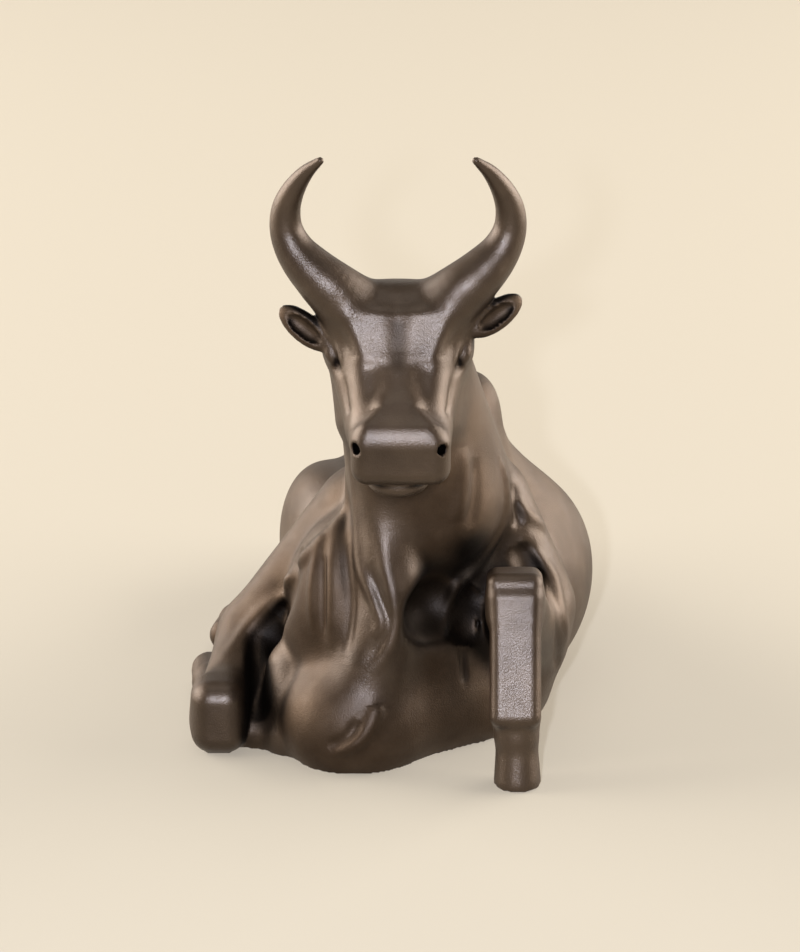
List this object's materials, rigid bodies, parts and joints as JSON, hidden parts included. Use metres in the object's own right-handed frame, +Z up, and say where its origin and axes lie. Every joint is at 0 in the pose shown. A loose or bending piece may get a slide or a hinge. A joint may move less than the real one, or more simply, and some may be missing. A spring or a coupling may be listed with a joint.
{
  "type": "nandi bull figure",
  "caption": "Dark patinated cast metal figure of a humped zebu bull lying down with its head up, horns curved up and in, and a foreleg set forward on its hoof.",
  "frame": {"origin": "on the flat underside, below the bull's ribs", "axes": "+X to the bull's own left, +Y from its face towards its tail, +Z up from the surface it stands on"},
  "size_m": [0.1342, 0.2347, 0.1991],
  "materials": {
    "bronze": "dark brown patina over a finely pitted cast skin, rubbed to a soft shine"
  },
  "bodies": {
    "root": {"bull": "bronze"}
  },
  "joints": []
}
